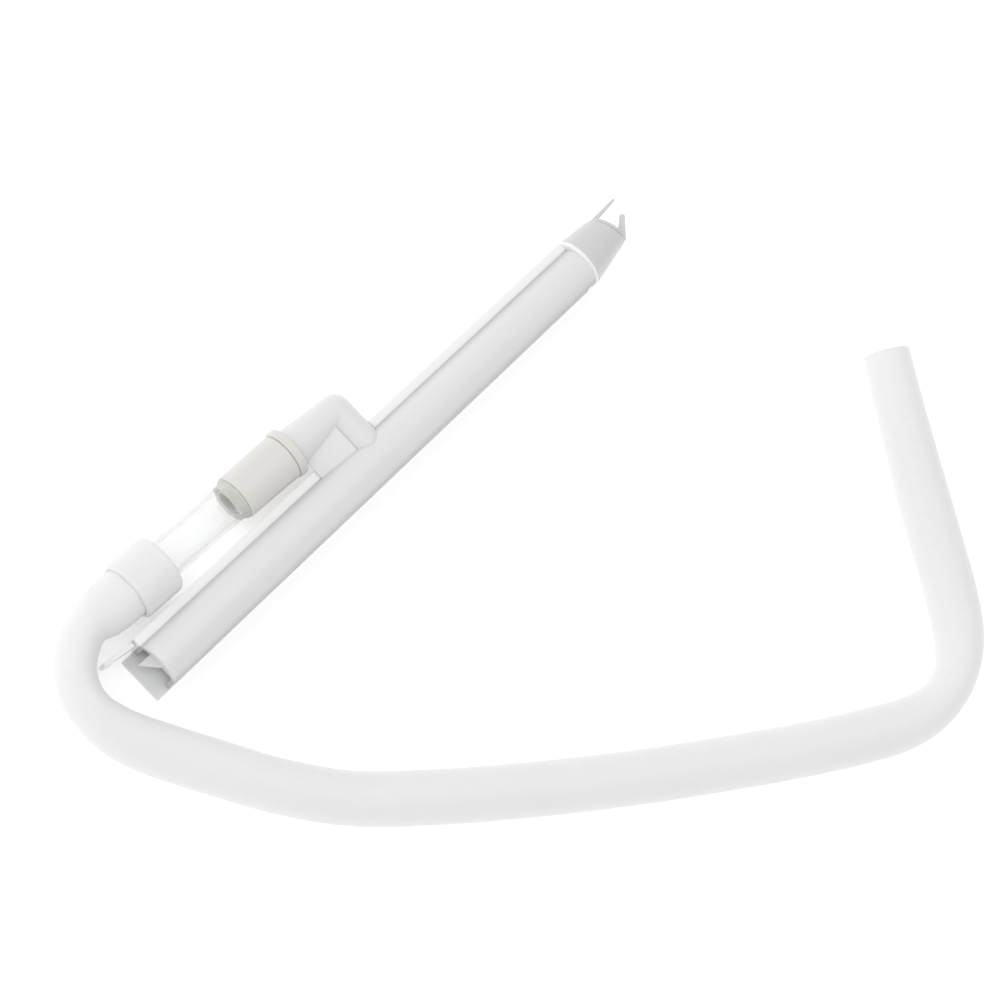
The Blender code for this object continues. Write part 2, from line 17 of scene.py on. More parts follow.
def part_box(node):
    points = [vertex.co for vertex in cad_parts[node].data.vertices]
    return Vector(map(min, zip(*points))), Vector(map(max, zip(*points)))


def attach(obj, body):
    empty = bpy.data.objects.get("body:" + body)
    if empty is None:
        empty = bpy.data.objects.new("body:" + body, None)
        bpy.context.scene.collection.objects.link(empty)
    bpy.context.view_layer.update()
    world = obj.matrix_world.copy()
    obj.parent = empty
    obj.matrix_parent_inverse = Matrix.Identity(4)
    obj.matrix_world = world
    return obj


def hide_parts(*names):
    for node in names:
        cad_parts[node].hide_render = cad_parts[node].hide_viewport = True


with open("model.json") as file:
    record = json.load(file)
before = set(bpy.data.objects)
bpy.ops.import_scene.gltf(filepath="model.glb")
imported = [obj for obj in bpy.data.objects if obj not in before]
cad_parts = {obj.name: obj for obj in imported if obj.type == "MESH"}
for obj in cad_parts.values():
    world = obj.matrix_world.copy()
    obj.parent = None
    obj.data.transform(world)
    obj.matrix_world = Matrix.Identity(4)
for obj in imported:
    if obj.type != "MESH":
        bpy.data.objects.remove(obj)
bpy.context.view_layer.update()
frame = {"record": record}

bl_info = {
    "name": "Suction Handpiece",
    "version": (1, 0, 0),
    "blender": (4, 5, 0),
    "location": "3D View > Sidebar > Handpiece",
    "description": "Draws a suction handpiece, its swivel and its hose round a packed frame",
    "category": "Object",
}

MM = 0.001

# Places read from the frame.
SHELL_LOW, SHELL_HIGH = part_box("upper_shell")
TONGUE_LOW, TONGUE_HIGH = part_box("rear_tongue")
PLATE_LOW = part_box("base_plate")[0]
RAIL_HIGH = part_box("side_rail")[1]
CONE_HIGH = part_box("nose_cone")[1]
JOINTS = {joint["name"]: joint for joint in frame["record"]["behaviour"]["joints"]}
SWIVEL_AT = Vector(JOINTS["hose_swivel"]["pos_m"])
SWIVEL_AXIS = -Vector(JOINTS["hose_swivel"]["axis"]).normalized()  # from the arm to the nose
TONGUE_AT = Vector(JOINTS["tongue_flex"]["pos_m"])

# The barrel's reference point: its rear end, on its centre line, on the floor.
BARREL = Vector((SHELL_LOW.x, (PLATE_LOW.y + RAIL_HIGH.y) / 2, 0.0))
LENGTH = SHELL_HIGH.x - SHELL_LOW.x
HALF_WIDTH = (RAIL_HIGH.y - PLATE_LOW.y) / 2
NOSE_SCALE = 0.93  # size of the barrel's front end against its rear end
DOME_CENTRE = -0.85 * MM  # the dome's centre line, to the right of the barrel's
DOME_HALF = 5.75 * MM
DOME_SPRING = 6.5 * MM  # height at which the upright walls turn into the dome
DOME_RISE = SHELL_HIGH.z - DOME_SPRING
PLATE_THICK = 1.0 * MM
PLATE_LEFT = 4.9 * MM
GAP = 0.3 * MM  # room between pieces that are seen as separate
SEAT = 0.02 * MM  # how far pieces that look joined reach into each other
SHADOW_GAP = 0.2 * MM  # the seam between the shell and the plate
WELD = 0.004 * MM  # points nearer than this become one

# The route of the hose from the cuff to its open end, from the barrel's reference point.
HOSE_ROUTE_MM = [
    (7.4, 15.56, 7.6),
    (3.2, 15.7, 7.55),
    (-0.8, 15.9, 7.35),
    (-6.4, 15.6, 6.9),
    (-11.5, 13.1, 6.5),
    (-15.4, 9.2, 6.4),
    (-17.5, 4.2, 6.4),
    (-17.6, -2.0, 6.4),
    (-15.6, -9.0, 6.4),
    (-11.5, -17.0, 6.4),
    (-5.6, -27.2, 6.4),
    (1.8, -39.5, 6.4),
    (12.2, -52.9, 6.4),
    (28.0, -67.0, 6.4),
    (46.0, -81.2, 6.4),
    (64.0, -94.4, 6.4),
    (82.0, -106.7, 6.4),
    (99.0, -117.8, 6.4),
    (113.5, -126.4, 6.4),
    (124.0, -131.4, 6.4),
    (133.2, -132.8, 6.4),
    (141.4, -130.4, 6.4),
    (148.4, -124.2, 6.4),
    (154.8, -114.8, 6.4),
    (162.0, -102.2, 6.4),
    (169.8, -89.0, 6.4),
    (177.4, -76.4, 6.4),
    (184.0, -65.9, 6.4),
]
HOSE_RINGS = 180
HOSE_SIDES = 40
BEND_WINDOW = 4  # rings to each side over which a bend is measured
FULL_BEND = 55.0  # bend in radians per metre that squeezes the hose all the way
BEND_NARROWER = 0.24
BEND_TALLER = 0.08
END_RUN = 0.12  # share of the hose over which its open end narrows
END_NARROWER = 0.13
RIB_PITCH = 1.9 * MM

ROUND = 96  # sides of a turned piece
ARCH_STEPS = 48
SHARP = math.radians(35.0)

# The camera, from the barrel's reference point.
CAMERA_AT = Vector((-0.27551, -0.00482, 0.97789))
CAMERA_RIGHT = Vector((0.67618, -0.68615, 0.26827))
CAMERA_UP = Vector((0.64854, 0.72713, 0.22511))
CAMERA_LENS = 162.0

# The disk lights as (name, place, size, power in watts).
LIGHTS = (
    ("key_light", (-0.55, 0.85, 0.95), 0.9, 2.5),
    ("top_light", (0.15, -0.1, 1.5), 1.2, 2.0),
)
BACKDROP_LEAN = (-0.25, 0.75, 0.6)  # the side from which the backdrop is brighter


class Signal:
    """A number that comes out of a shader node; arithmetic on it adds Math nodes."""

    def __init__(self, finish, socket):
        self.finish = finish
        self.socket = socket

    def join(self, operation, first, second):
        return self.finish.node("ShaderNodeMath", {"operation": operation}, {0: first, 1: second})

    def __add__(self, other):
        return self.join("ADD", self, other)

    def __radd__(self, other):
        return self.join("ADD", other, self)

    def __mul__(self, other):
        return self.join("MULTIPLY", self, other)

    def __rmul__(self, other):
        return self.join("MULTIPLY", other, self)


class Finish:
    """A material on one Principled shader, and the nodes that vary it over the surface."""

    def __init__(self, name, **constants):
        self.material = bpy.data.materials.new(name)
        self.material.use_nodes = True
        self.tree = self.material.node_tree
        self.shader = self.tree.nodes["Principled BSDF"]
        for socket, value in constants.items():
            self.shader.inputs[socket.replace("_", " ")].default_value = value

    def node(self, kind, settings=None, inputs=None, output=0):
        """Adds a node, sets it up and feeds its sockets; gives back one of its outputs."""
        made = self.tree.nodes.new(kind)
        for name, value in (settings or {}).items():
            setattr(made, name, value)
        for name, value in (inputs or {}).items():
            if isinstance(value, Signal):
                self.tree.links.new(value.socket, made.inputs[name])
            else:
                made.inputs[name].default_value = value
        return Signal(self, made.outputs[output])

    def place(self):
        return self.node("ShaderNodeTexCoord", output="Object")

    def noise(self, *grain, turn=0.0, detail=3.0):
        """Smooth noise from 0 to 1; grain is its grains per metre, one for all axes or one each."""
        scale = grain * 3 if len(grain) == 1 else grain
        where = self.node(
            "ShaderNodeMapping", None,
            {"Vector": self.place(), "Rotation": (0.0, 0.0, turn), "Scale": scale},
        )
        return self.node(
            "ShaderNodeTexNoise", None, {"Vector": where, "Scale": 1.0, "Detail": detail}
        )

    def tint(self, mask, first, second):
        """A colour that goes from first to second as mask goes from 0 to 1."""
        ends = [end if isinstance(end, Signal) else (*end, 1.0) for end in (first, second)]
        return self.node(
            "ShaderNodeMix", {"data_type": "RGBA"}, {0: mask, 6: ends[0], 7: ends[1]}, output=2
        )

    def raise_by(self, height, distance):
        """A normal from a height that goes from 0 to 1 over distance."""
        inputs = {"Height": height, "Distance": distance}
        self.feed("Normal", self.node("ShaderNodeBump", None, inputs))

    def feed(self, name, signal):
        self.tree.links.new(signal.socket, self.shader.inputs[name])


def darker(colour, share):
    return tuple(part * share for part in colour)


def moulded(name, colour, roughness, flow=0.05, grain=0.000006, turn=0.0, foot=None, **constants):
    """Moulded plastic: soft clouds, faint flow streaks along the piece and a fine satin grain.

    foot gives the heights between which painted shade darkens the plastic towards its foot, and by
    what share.
    """
    finish = Finish(name, Roughness=roughness, **constants)
    clouds = finish.noise(45.0, 60.0, 60.0, detail=2.0)
    streaks = finish.noise(18.0, 900.0, 900.0, turn=turn)
    mask = clouds * 0.6 + streaks * 0.4
    tinted = finish.tint(mask, darker(colour, 1.0 - flow), darker(colour, 1.0 + flow))
    # painted shade: between these heights the plastic's colour darkens towards its foot
    if foot:
        low, high, share = foot
        height = finish.node("ShaderNodeSeparateXYZ", None, {0: finish.place()}, output=2)
        painted_foot_shade = finish.node(
            "ShaderNodeMapRange", {"interpolation_type": "SMOOTHSTEP"},
            {"Value": height, "From Min": low, "From Max": high},
        )
        tinted = finish.tint(painted_foot_shade, darker(colour, share), tinted)
    finish.feed("Base Color", tinted)
    finish.feed("Roughness", finish.noise(260.0) * 0.14 + (roughness - 0.07))
    speckle = finish.noise(2600.0, detail=1.0)
    finish.raise_by(speckle * 0.5 + streaks * 0.5, grain)
    return finish.material


def milky_finish(colour, foot=None):
    """Milky plastic of the shell and the elbow, lit a little from within; with foot it takes
    painted shade that darkens towards its foot.
    """
    return moulded(
        "milky_plastic", colour, 0.34, flow=0.025, foot=foot,
        Subsurface_Weight=0.2, Subsurface_Radius=(1.0, 1.0, 1.0), Subsurface_Scale=0.0015,
        IOR=1.5, Coat_Weight=0.15, Coat_Roughness=0.12,
    )


def rail_finish(colour):
    """Light milky plastic of the side rail and its tongue."""
    return moulded(
        "rail_plastic", colour, 0.38, flow=0.03,
        Subsurface_Weight=0.15, Subsurface_Radius=(1.0, 1.0, 1.0), Subsurface_Scale=0.001,
        IOR=1.5,
    )


def white_finish(colour):
    """Bright white satin plastic of the gasket and the bulkhead."""
    return moulded("white_plastic", colour, 0.48, flow=0.012, grain=0.000004)


def plate_finish(colour):
    """Grey moulded plastic of the flat plate, a little rougher than the nozzle."""
    return moulded("plate_plastic", colour, 0.42, flow=0.06, grain=0.000008)


def cone_finish(colour):
    """Cool grey moulded plastic of the nozzle."""
    return moulded("grey_plastic", colour, 0.3, flow=0.05, Coat_Weight=0.2, Coat_Roughness=0.15)


def collar_finish(colour):
    """Warm grey moulded plastic of the swivel."""
    return moulded("collar_plastic", colour, 0.34, flow=0.04, turn=0.03, Coat_Weight=0.1)


def seal_finish(colour):
    """Soft grey rubber with a dusty bloom and a fine matt grain."""
    finish = Finish("seal_rubber", Roughness=0.7, Specular_IOR_Level=0.35)
    bloom = finish.noise(700.0, detail=4.0)
    finish.feed("Base Color", finish.tint(bloom, darker(colour, 0.8), darker(colour, 1.25)))
    finish.feed("Roughness", bloom * 0.2 + 0.58)
    finish.raise_by(finish.noise(3200.0, detail=2.0), 0.000012)
    return finish.material


def clear_finish(colour):
    """Clear polished plastic with faint handling marks."""
    finish = Finish(
        "clear_plastic", Roughness=0.05, Transmission_Weight=0.96, IOR=1.36, Alpha=0.36
    )
    haze = finish.noise(240.0, detail=4.0)
    marks = finish.noise(90.0, 2400.0, 2400.0, turn=0.03)
    finish.feed("Base Color", finish.tint(haze, darker(colour, 0.985), colour))
    finish.feed("Roughness", haze * 0.08 + marks * 0.05 + 0.01)
    finish.raise_by(marks, 0.0000015)
    return finish.material


def prong_finish(colour):
    """Grey translucent plastic of the pronged guard."""
    return moulded(
        "prong_plastic", colour, 0.25, flow=0.03, grain=0.000003,
        Transmission_Weight=0.1, IOR=1.4, Alpha=0.85, Coat_Weight=0.2, Coat_Roughness=0.1,
    )


def cuff_finish(colour):
    """Frosted soft plastic of the cuff."""
    finish = Finish(
        "cuff_plastic", Roughness=0.32, Transmission_Weight=0.12, IOR=1.46,
        Subsurface_Weight=0.1, Subsurface_Radius=(1.0, 1.0, 1.0), Subsurface_Scale=0.002,
    )
    haze = finish.noise(180.0, detail=4.0)
    finish.feed("Base Color", finish.tint(haze, darker(colour, 0.96), darker(colour, 1.03)))
    finish.feed("Roughness", haze * 0.2 + 0.22)
    finish.raise_by(finish.noise(1500.0, detail=2.0), 0.000008)
    return finish.material


def hose_finish(colour):
    """Soft milky tubing with faint ribs round it and a slight bloom; reads the run attribute."""
    finish = Finish(
        "hose_tubing", Roughness=0.36, Transmission_Weight=0.1, IOR=1.42,
        Subsurface_Weight=0.15, Subsurface_Radius=(1.0, 1.0, 1.0), Subsurface_Scale=0.002,
    )
    run = finish.node("ShaderNodeAttribute", {"attribute_name": "run"}, output="Fac")
    wave = finish.node("ShaderNodeMath", {"operation": "SINE"}, {0: run * (math.tau / RIB_PITCH)})
    ribs = wave * 0.5 + 0.5
    bloom = finish.noise(55.0, detail=4.0)
    mask = bloom * 0.85 + ribs * 0.15
    finish.feed("Base Color", finish.tint(mask, darker(colour, 0.97), darker(colour, 1.02)))
    finish.feed("Roughness", bloom * 0.16 + 0.28)
    fine = finish.noise(1400.0, detail=2.0)
    finish.raise_by(ribs * 0.8 + fine * 0.2, 0.00003)
    return finish.material


def solid(bm, name="tool"):
    """A smooth object from bm, which is used up; edges that turn sharply stay sharp."""
    bmesh.ops.remove_doubles(bm, verts=bm.verts, dist=WELD)
    bmesh.ops.recalc_face_normals(bm, faces=bm.faces)
    mesh = bpy.data.meshes.new(name)
    bm.to_mesh(mesh)
    bm.free()
    mesh.shade_smooth()
    mesh.set_sharp_from_angle(angle=SHARP)
    made = bpy.data.objects.new(name, mesh)
    bpy.context.collection.objects.link(made)
    return made


def finished(name, bm, material, body, node, slot, *changes):
    """A visible piece from bm that rides on body and stands for node.

    changes are (operation, mesh) pairs that are joined to it or cut away from it in turn.
    """
    made = solid(bm, name)
    made.data.materials.append(material)
    for operation, tool in changes:
        combine(made, solid(tool), operation)
    soften = made.modifiers.new("soften", "WEIGHTED_NORMAL")
    soften.keep_sharp = True
    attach(made, body)
    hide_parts(node)
    return made


def combine(target, tool, operation):
    """Joins tool to target or cuts it away, for good."""
    change = target.modifiers.new("combine", "BOOLEAN")
    change.operation = operation
    change.solver = "EXACT"
    change.object = tool
    seen = target.evaluated_get(bpy.context.evaluated_depsgraph_get())
    mesh = bpy.data.meshes.new_from_object(seen)
    target.modifiers.remove(change)
    target.data = mesh
    bpy.data.objects.remove(tool)
    mesh.shade_smooth()
    mesh.set_sharp_from_angle(angle=SHARP)


def bevelled(bm, width, segments=3, least=40.0):
    """Rounds the edges that turn by more than least degrees."""
    bmesh.ops.recalc_face_normals(bm, faces=bm.faces)
    edges = [
        edge
        for edge in bm.edges
        if len(edge.link_faces) == 2 and edge.calc_face_angle(0.0) > math.radians(least)
    ]
    bmesh.ops.bevel(
        bm, geom=edges, offset=width, segments=segments, profile=0.5,
        affect="EDGES", material=-1, clamp_overlap=True,
    )
    return bm


def round_tip(bm, beyond, width):
    """Rounds the upright ends of the edges that lie beyond a place along X."""
    edges = [
        edge
        for edge in bm.edges
        if all(vert.co.x > beyond for vert in edge.verts)
        and abs(edge.verts[0].co.z - edge.verts[1].co.z) < 0.01 * MM
    ]
    bmesh.ops.bevel(
        bm, geom=edges, offset=width, segments=6, profile=0.5, affect="EDGES", material=-1
    )


def extruded(points, travel, far_scale=1.0):
    """A flat face through the points drawn out by travel, its far end scaled across X."""
    bm = bmesh.new()
    face = bm.faces.new([bm.verts.new(point) for point in points])
    grown = bmesh.ops.extrude_face_region(bm, geom=[face])["geom"]
    far = [item for item in grown if isinstance(item, bmesh.types.BMVert)]
    bmesh.ops.translate(bm, verts=far, vec=travel)
    bmesh.ops.scale(bm, verts=far, vec=(1.0, far_scale, far_scale))
    return bm


def drawn_out(outline, start, end, far_scale=1.0):
    """A flat outline of (y, z) points drawn along X."""
    return extruded([(start, y, z) for y, z in outline], (end - start, 0.0, 0.0), far_scale)


def raised(outline, low, high):
    """A flat outline of (x, y) points raised from low to high."""
    return extruded([(x, y, low) for x, y in outline], (0.0, 0.0, high - low))


def arch(offset, foot):
    """The shell's arch moved out by offset, from its right foot over the top to its left foot."""
    half, rise = DOME_HALF + offset, DOME_RISE + offset
    points = [(DOME_CENTRE - half, foot)]
    for i in range(ARCH_STEPS + 1):
        angle = math.pi * i / ARCH_STEPS
        points.append((DOME_CENTRE - half * math.cos(angle), DOME_SPRING + rise * math.sin(angle)))
    points.append((DOME_CENTRE + half, foot))
    return points


def turned(profile):
    """A closed profile of (x, radius) points spun round the X axis."""
    bm = bmesh.new()
    verts = [bm.verts.new((x, 0.0, radius)) for x, radius in profile]
    edges = [bm.edges.new((verts[i - 1], verts[i])) for i in range(len(verts))]
    bmesh.ops.spin(
        bm, geom=verts + edges, cent=(0.0, 0.0, 0.0), axis=(1.0, 0.0, 0.0),
        angle=math.tau, steps=ROUND, use_merge=True,
    )
    return bm


def skin(rings, sides=ROUND):
    """A circle drawn out through rings and back to the first.

    Each ring is a function that places the point at an angle.
    """
    bm = bmesh.new()
    bmesh.ops.create_circle(bm, segments=sides, radius=1.0)
    angle = bm.verts.layers.float.new("angle")
    for vert in bm.verts:
        vert[angle] = math.atan2(vert.co.y, vert.co.x)
    verts, edges = bm.verts[:], bm.edges[:]
    for vert in verts:
        vert.co = rings[0](vert[angle])
    for ring in rings[1:] + rings[:1]:
        grown = bmesh.ops.extrude_edge_only(bm, edges=edges)["geom"]
        verts = [item for item in grown if isinstance(item, bmesh.types.BMVert)]
        fresh = set(verts)
        edges = [
            item
            for item in grown
            if isinstance(item, bmesh.types.BMEdge) and fresh.issuperset(item.verts)
        ]
        for vert in verts:
            vert.co = ring(vert[angle])
    bm.verts.layers.float.remove(angle)
    return bm


def oval(x, centre, half_width, half_height, power=2.0, rake=0.0):
    """A ring across the barrel, squarer below its middle by power and slanted by rake."""

    def where(angle):
        side, up = math.cos(angle), math.sin(angle)
        exponent = 2.0 / (power if up < 0.0 else 2.0)
        y = half_width * math.copysign(abs(side) ** exponent, side)
        z = half_height * math.copysign(abs(up) ** exponent, up)
        return BARREL + Vector((x - rake * y, centre[0] + y, centre[1] + z))

    return where


def moved(bm, matrix):
    bmesh.ops.transform(bm, matrix=matrix, verts=bm.verts)
    return bm


def arm_frame():
    """The frame at the elbow's corner, with +X back along the swivel's axis."""
    back = -SWIVEL_AXIS
    side = Vector((0.0, 0.0, 1.0)).cross(back)
    turn = Matrix((back, side, Vector((0.0, 0.0, 1.0)))).transposed().to_4x4()
    return Matrix.Translation(SWIVEL_AT) @ turn


def smooth_route(points, count):
    """Evenly spaced points on a Catmull-Rom curve through the given points, and its length."""
    ends = [points[0] * 2 - points[1], *points, points[-1] * 2 - points[-2]]
    fine = []
    for before, here, there, after in zip(ends, ends[1:], ends[2:], ends[3:], strict=False):
        for i in range(24):
            t = i / 24
            square = 2 * before - 5 * here + 4 * there - after
            cube = 3 * here - before - 3 * there + after
            fine.append(0.5 * (2 * here + (there - before) * t + square * t**2 + cube * t**3))
    fine.append(points[-1])
    run = [0.0]
    for a, b in zip(fine, fine[1:], strict=False):
        run.append(run[-1] + (b - a).length)
    spaced, k = [], 0
    for i in range(count):
        want = run[-1] * i / (count - 1)
        while k < len(run) - 2 and run[k + 1] < want:
            k += 1
        spaced.append(fine[k].lerp(fine[k + 1], (want - run[k]) / (run[k + 1] - run[k])))
    return spaced, run[-1]


def size_property(name, text, default):
    return FloatProperty(
        name=name, description=text, default=default, subtype="DISTANCE", unit="LENGTH"
    )


def colour_property(name, text, default):
    return FloatVectorProperty(
        name=name, description=text, default=default, size=3, subtype="COLOR", min=0.0, max=1.0
    )


class HandpieceSizes(PropertyGroup):
    """Sizes that may be changed without touching the frame."""

    wall: size_property("Shell wall", "Thickness of the domed shell", 1.2 * MM)
    hose_diameter: size_property("Hose diameter", "Outside diameter of the hose", 12.7 * MM)
    hose_wall: size_property("Hose wall", "Thickness of the hose's wall", 1.6 * MM)
    edge: size_property("Edge rounding", "Width of the rounding on moulded edges", 0.28 * MM)


class HandpieceColours(PropertyGroup):
    """Colours of the finishes."""

    shell: colour_property("Shell", "Milky plastic of the shell and elbow", (0.80, 0.80, 0.808))
    rail: colour_property("Rail", "Plastic of the side rail and the tongue", (0.95, 0.95, 0.95))
    plate: colour_property("Plate", "Plastic of the flat plate", (0.79, 0.795, 0.80))
    prongs: colour_property("Prongs", "Grey plastic of the pronged guard", (0.76, 0.765, 0.77))
    white: colour_property("White", "Gasket and bulkhead", (0.92, 0.92, 0.92))
    cone: colour_property("Nozzle", "Plastic of the nozzle", (0.655, 0.655, 0.66))
    collar: colour_property("Collar", "Plastic of the swivel collar", (0.755, 0.74, 0.71))
    seal: colour_property("Seal", "Rubber of the seals", (0.61, 0.61, 0.58))
    clear: colour_property("Clear", "Clear plastic of the connector", (0.97, 0.975, 0.98))
    cuff: colour_property("Cuff", "Frosted plastic of the cuff", (0.96, 0.962, 0.965))
    hose: colour_property("Hose", "Milky tubing of the hose", (0.955, 0.955, 0.955))
    floor: colour_property("Floor", "Pale floor under the object", (0.93, 0.93, 0.93))


class HANDPIECE_OT_stage(Operator):
    """Sets the floor, the lights, the backdrop and the camera"""

    bl_idname = "handpiece.stage"
    bl_label = "Stage"

    def execute(self, context):
        scene = context.scene
        scene.view_settings.view_transform = "Standard"
        self.camera(scene)
        self.floor(context)
        self.backdrop(scene)
        for light in LIGHTS:
            self.softbox(context, *light)
        return {"FINISHED"}

    @staticmethod
    def camera(scene):
        data = bpy.data.cameras.new("camera")
        data.sensor_width = 36.0
        data.lens = CAMERA_LENS
        data.clip_start, data.clip_end = 0.05, 20.0
        made = bpy.data.objects.new("camera", data)
        scene.collection.objects.link(made)
        facing = CAMERA_RIGHT.cross(CAMERA_UP)
        turn = Matrix((CAMERA_RIGHT, CAMERA_UP, facing)).transposed().to_4x4()
        made.matrix_world = Matrix.Translation(BARREL + CAMERA_AT) @ turn
        scene.camera = made

    @staticmethod
    def floor(context):
        finish = Finish(
            "floor", Roughness=0.9, Specular_IOR_Level=0.1,
            Emission_Color=(1.0, 1.0, 1.0, 1.0), Emission_Strength=0.3,
        )
        colour = tuple(context.scene.handpiece_colours.floor)
        soft = finish.noise(2.0)
        finish.feed("Base Color", finish.tint(soft, darker(colour, 0.99), colour))
        bm = bmesh.new()
        bmesh.ops.create_grid(bm, x_segments=1, y_segments=1, size=4.0)
        moved(bm, Matrix.Translation((0.0, 0.0, -0.05 * MM)))
        mesh = bpy.data.meshes.new("floor")
        bm.to_mesh(mesh)
        bm.free()
        made = bpy.data.objects.new("floor", mesh)
        context.collection.objects.link(made)
        mesh.materials.append(finish.material)

    @staticmethod
    def backdrop(scene):
        world = bpy.data.worlds.new("studio")
        world.use_nodes = True
        scene.world = world
        nodes, links = world.node_tree.nodes, world.node_tree.links
        where = nodes.new("ShaderNodeTexCoord")
        lean = nodes.new("ShaderNodeVectorMath")
        lean.operation = "DOT_PRODUCT"
        lean.inputs[1].default_value = BACKDROP_LEAN
        links.new(where.outputs["Generated"], lean.inputs[0])
        strength = nodes.new("ShaderNodeMapRange")
        ends = {"From Min": -0.8, "From Max": 0.7, "To Min": 0.68, "To Max": 0.84}
        for name, value in ends.items():
            strength.inputs[name].default_value = value
        links.new(lean.outputs["Value"], strength.inputs["Value"])
        links.new(strength.outputs["Result"], nodes["Background"].inputs["Strength"])
        nodes["Background"].inputs["Color"].default_value = (1.0, 1.0, 1.0, 1.0)

    @staticmethod
    def softbox(context, name, place, size, power):
        data = bpy.data.lights.new(name, "AREA")
        data.shape = "DISK"
        data.size = size
        data.energy = power
        made = bpy.data.objects.new(name, data)
        context.collection.objects.link(made)
        made.location = place
        made.rotation_euler = (-Vector(place)).to_track_quat("-Z", "Y").to_euler()


class HANDPIECE_OT_hose(Operator):
    """Draws the soft hose along its route, narrower across where it bends"""

    bl_idname = "handpiece.hose"
    bl_label = "Hose"

    def execute(self, context):
        sizes = context.scene.handpiece_sizes
        radius = sizes.hose_diameter / 2
        bore = radius - sizes.hose_wall
        points = [BARREL + Vector(point) * MM for point in HOSE_ROUTE_MM]
        route, length = smooth_route(points, HOSE_RINGS)
        outside = [self.ring(route, i, radius, length) for i in range(HOSE_RINGS)]
        inside = [self.ring(route, i, bore, length) for i in reversed(range(HOSE_RINGS))]
        bm = skin(outside + inside, sides=HOSE_SIDES)
        bmesh.ops.remove_doubles(bm, verts=bm.verts, dist=WELD)
        self.store_run(bm, route, length)
        finish = hose_finish(tuple(context.scene.handpiece_colours.hose))
        hose = finished("suction_hose_tube", bm, finish, "hose_set", "suction_hose", "hose")
        return {"FINISHED"}

    @staticmethod
    def ring(route, index, radius, length):
        """An oval ring across the route: narrower and taller in a bend, narrower at the end."""
        last = HOSE_RINGS - 1
        step = length / last
        squeeze = 0.0
        if BEND_WINDOW <= index <= last - BEND_WINDOW:
            back = route[index] - route[index - BEND_WINDOW]
            on = route[index + BEND_WINDOW] - route[index]
            bend = back.angle(on) / (BEND_WINDOW * step)
            squeeze = min(bend / FULL_BEND, 1.0) ** 2
        along = (route[min(index + 1, last)] - route[max(index - 1, 0)]).normalized()
        across = along.cross(Vector((0.0, 0.0, 1.0))).normalized()
        upward = across.cross(along)
        nip = max(index / last - (1.0 - END_RUN), 0.0) / END_RUN
        wide = radius * (1.0 - BEND_NARROWER * squeeze) * (1.0 - END_NARROWER * nip)
        tall = radius * (1.0 + BEND_TALLER * squeeze)
        centre = route[index] + Vector((0.0, 0.0, 6.35 * MM * BEND_TALLER * squeeze))

        def where(angle):
            return centre + across * (wide * math.cos(angle)) + upward * (tall * math.sin(angle))

        return where

    @staticmethod
    def store_run(bm, route, length):
        """Keeps each point's distance along the hose, for the ribs."""
        run = bm.verts.layers.float.new("run")
        step = length / (HOSE_RINGS - 1)
        for vert in bm.verts:
            nearest = min(range(HOSE_RINGS), key=lambda i: (route[i] - vert.co).length_squared)
            vert[run] = nearest * step


class HANDPIECE_OT_shell(Operator):
    """Draws the domed shell of the barrel"""

    bl_idname = "handpiece.shell"
    bl_label = "Shell"

    def execute(self, context):
        sizes = context.scene.handpiece_sizes
        foot = PLATE_THICK + SHADOW_GAP
        outline = arch(0.0, foot) + arch(-sizes.wall, foot)[::-1]
        bm = drawn_out(outline, 0.0, LENGTH, NOSE_SCALE)
        bevelled(bm, sizes.edge * 0.5)
        moved(bm, Matrix.Translation(BARREL))
        # painted shade: the shell's colour darkens towards its foot below these heights, by this
        # share
        painted_foot_shade_heights = (DOME_SPRING + 0.8 * MM, DOME_SPRING + 5.0 * MM, 0.56)
        finish = milky_finish(tuple(context.scene.handpiece_colours.shell), painted_foot_shade_heights)
        finished("domed_shell", bm, finish, "handpiece", "upper_shell", "shell")
        return {"FINISHED"}


